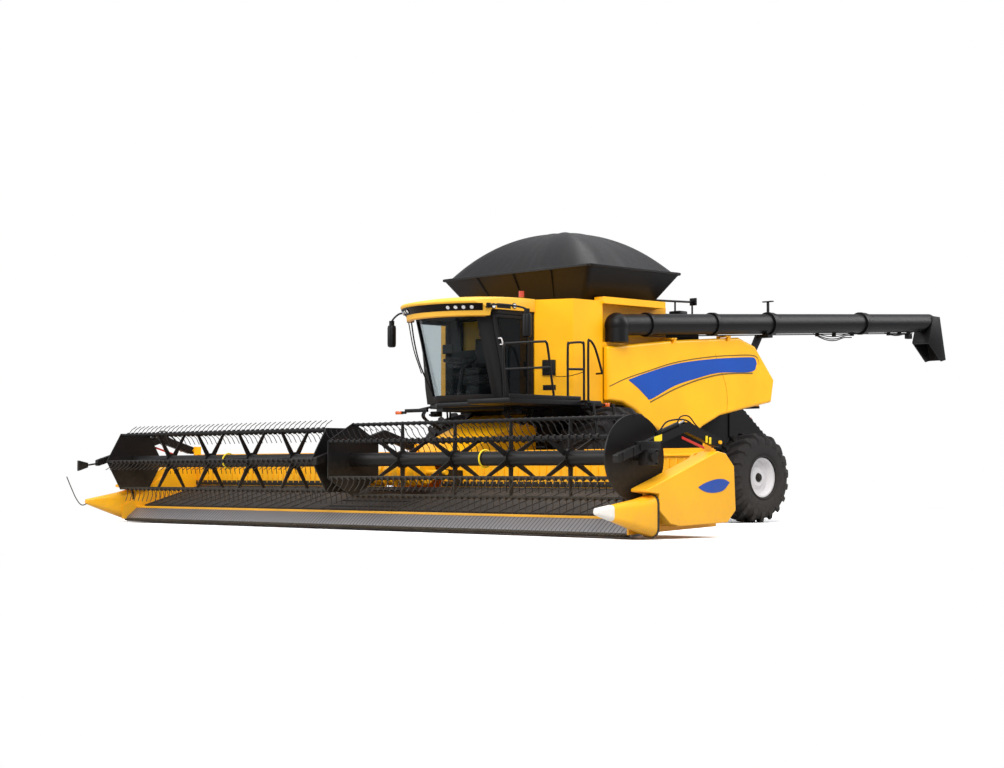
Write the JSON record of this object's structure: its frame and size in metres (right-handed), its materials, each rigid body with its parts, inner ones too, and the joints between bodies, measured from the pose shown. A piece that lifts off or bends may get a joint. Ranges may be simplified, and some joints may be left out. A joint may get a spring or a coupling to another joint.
{
  "type": "combine harvester",
  "caption": "Self-propelled combine harvester with a wide draper header, tined reel, covered grain tank and folded-back unloading auger.",
  "frame": {"origin": "on the ground below the middle of the whole machine", "axes": "faces -Y, left side +X, up +Z"},
  "size_m": [12.8, 14.9382, 4.9499],
  "materials": {
    "body_yellow": "satin yellow paint",
    "roof_yellow": "satin moulded yellow",
    "black_steel": "satin black paint",
    "frame_black": "semi-matt black paint",
    "tyre": "matt black tyre",
    "rim": "pale silver paint",
    "fabric_black": "coated black fabric",
    "belt": "black rubber belt",
    "glass": "tinted clear glass",
    "trim_black": "matt black moulding",
    "lamp_orange": "clear orange lens",
    "chrome": "hard chrome rod"
  },
  "bodies": {
    "machine": {"auger_base": "black_steel", "auger_cradle": "black_steel", "beacons": "lamp_orange", "cab_glass": "glass", "cab_roof": "roof_yellow", "cab_shell": "trim_black", "chassis_frame": "frame_black", "engine_block": "frame_black", "engine_deck": "frame_black", "front_axle": "frame_black", "grain_tank": "body_yellow", "handrails": "black_steel", "marker_lamps": "lamp_orange", "mirror_left": "trim_black", "mirror_right": "trim_black", "platform": "black_steel", "rear_axle": "frame_black", "rear_hood": "body_yellow", "seat": "fabric_black", "steering_column": "trim_black", "straw_chute": "black_steel", "tank_cover": "fabric_black", "tank_extension": "black_steel", "threshing_body": "frame_black"},
    "front_wheel_left": {"front_tyre_left": "tyre", "front_rim_left": "rim"},
    "front_wheel_right": {"front_tyre_right": "tyre", "front_rim_right": "rim"},
    "rear_wheel_left": {"rear_tyre_left": "tyre", "rear_rim_left": "rim"},
    "rear_wheel_right": {"rear_tyre_right": "tyre", "rear_rim_right": "rim"},
    "knuckle_left": {"rear_knuckle_left": "frame_black"},
    "knuckle_right": {"rear_knuckle_right": "frame_black"},
    "header": {"feeder_house": "body_yellow", "header_frame": "body_yellow", "header_deck": "body_yellow", "header_ribs": "body_yellow", "header_ends": "body_yellow", "cutterbar": "black_steel", "draper_belts": "belt", "end_shields": "body_yellow", "divider_noses": "body_yellow", "drum_hangers": "black_steel"},
    "drum": {"feed_drum": "body_yellow"},
    "reel_frame": {"reel_arm_left": "black_steel", "reel_arm_centre": "black_steel", "reel_arm_right": "black_steel"},
    "reel_rotor": {"reel": "black_steel"},
    "auger": {"unloading_auger": "black_steel", "auger_spout": "black_steel"},
    "door": {"cab_door": "glass"},
    "panel_left": {"side_panel_left": "body_yellow"},
    "panel_right": {"side_panel_right": "body_yellow"},
    "steps": {"ladder": "black_steel"},
    "barrel_left": {"lift_barrel_left": "frame_black"},
    "barrel_right": {"lift_barrel_right": "frame_black"},
    "piston_left": {"lift_rod_left": "chrome"},
    "piston_right": {"lift_rod_right": "chrome"}
  },
  "joints": [
    {"name": "front_wheel_left_spin", "type": "hinge", "parent": "machine", "child": "front_wheel_left", "pos_m": [1.685, -2.151, 0.965], "axis": [1, 0, 0], "continuous": true},
    {"name": "front_wheel_right_spin", "type": "hinge", "parent": "machine", "child": "front_wheel_right", "pos_m": [-1.685, -2.151, 0.965], "axis": [1, 0, 0], "continuous": true},
    {"name": "steer_left", "type": "hinge", "parent": "machine", "child": "knuckle_left", "pos_m": [1.18, 1.549, 0.785], "axis": [0, 0, 1], "range_deg": [-25, 25]},
    {"name": "steer_right", "type": "hinge", "parent": "machine", "child": "knuckle_right", "pos_m": [-1.18, 1.549, 0.785], "axis": [0, 0, 1], "range_deg": [-25, 25]},
    {"name": "rear_wheel_left_spin", "type": "hinge", "parent": "knuckle_left", "child": "rear_wheel_left", "pos_m": [1.59, 1.549, 0.785], "axis": [1, 0, 0], "continuous": true},
    {"name": "rear_wheel_right_spin", "type": "hinge", "parent": "knuckle_right", "child": "rear_wheel_right", "pos_m": [-1.59, 1.549, 0.785], "axis": [1, 0, 0], "continuous": true},
    {"name": "header_lift", "type": "hinge", "parent": "machine", "child": "header", "pos_m": [0, -2.971, 1.7], "axis": [-1, 0, 0], "range_deg": [0, 15]},
    {"name": "drum_spin", "type": "hinge", "parent": "header", "child": "drum", "pos_m": [0, -5.251, 0.87], "axis": [1, 0, 0], "continuous": true},
    {"name": "reel_lift", "type": "hinge", "parent": "header", "child": "reel_frame", "pos_m": [0, -4.831, 1.27], "axis": [-1, 0, 0], "range_deg": [0, 20]},
    {"name": "reel_spin", "type": "hinge", "parent": "reel_frame", "child": "reel_rotor", "pos_m": [0, -6.196, 1.063], "axis": [1, 0, 0], "continuous": true},
    {"name": "auger_swing", "type": "hinge", "parent": "machine", "child": "auger", "pos_m": [1.7, -1.971, 3.2], "axis": [0, 0, -1], "range_deg": [0, 100]},
    {"name": "door_swing", "type": "hinge", "parent": "machine", "child": "door", "pos_m": [1.018, -3.253, 2.7], "axis": [0, 0, 1], "range_deg": [0, 80]},
    {"name": "panel_left_lift", "type": "hinge", "parent": "machine", "child": "panel_left", "pos_m": [1.726, -0.601, 3.107], "axis": [0, -0.9971, -0.0755], "range_deg": [0, 65]},
    {"name": "panel_right_lift", "type": "hinge", "parent": "machine", "child": "panel_right", "pos_m": [-1.726, -0.601, 3.107], "axis": [0, 0.9971, 0.0755], "range_deg": [0, 65]},
    {"name": "ladder_swing", "type": "hinge", "parent": "machine", "child": "steps", "pos_m": [2.14, -3.126, 1.935], "axis": [0, 0, -1], "range_deg": [0, 90]},
    {"name": "barrel_left_tilt", "type": "hinge", "parent": "machine", "child": "barrel_left", "pos_m": [0.5, -2.541, 0.87], "axis": [-1, 0, 0], "range_deg": [-1, 14]},
    {"name": "piston_left_stroke", "type": "slide", "parent": "barrel_left", "child": "piston_left", "axis": [0, -0.9717, -0.2362], "range_m": [-0.01, 0.25]},
    {"name": "barrel_right_tilt", "type": "hinge", "parent": "machine", "child": "barrel_right", "pos_m": [-0.5, -2.541, 0.87], "axis": [-1, 0, 0], "range_deg": [-1, 14]},
    {"name": "piston_right_stroke", "type": "slide", "parent": "barrel_right", "child": "piston_right", "axis": [0, -0.9717, -0.2362], "range_m": [-0.01, 0.25]}
  ],
  "couplings": [
    {"joint": "steer_right", "follows": "steer_left", "ratio": 1},
    {"joint": "barrel_left_tilt", "follows": "header_lift", "ratio": 0.84719},
    {"joint": "piston_left_stroke", "follows": "header_lift", "m_per_rad": 0.88387},
    {"joint": "barrel_right_tilt", "follows": "header_lift", "ratio": 0.84719},
    {"joint": "piston_right_stroke", "follows": "header_lift", "m_per_rad": 0.88387}
  ]
}
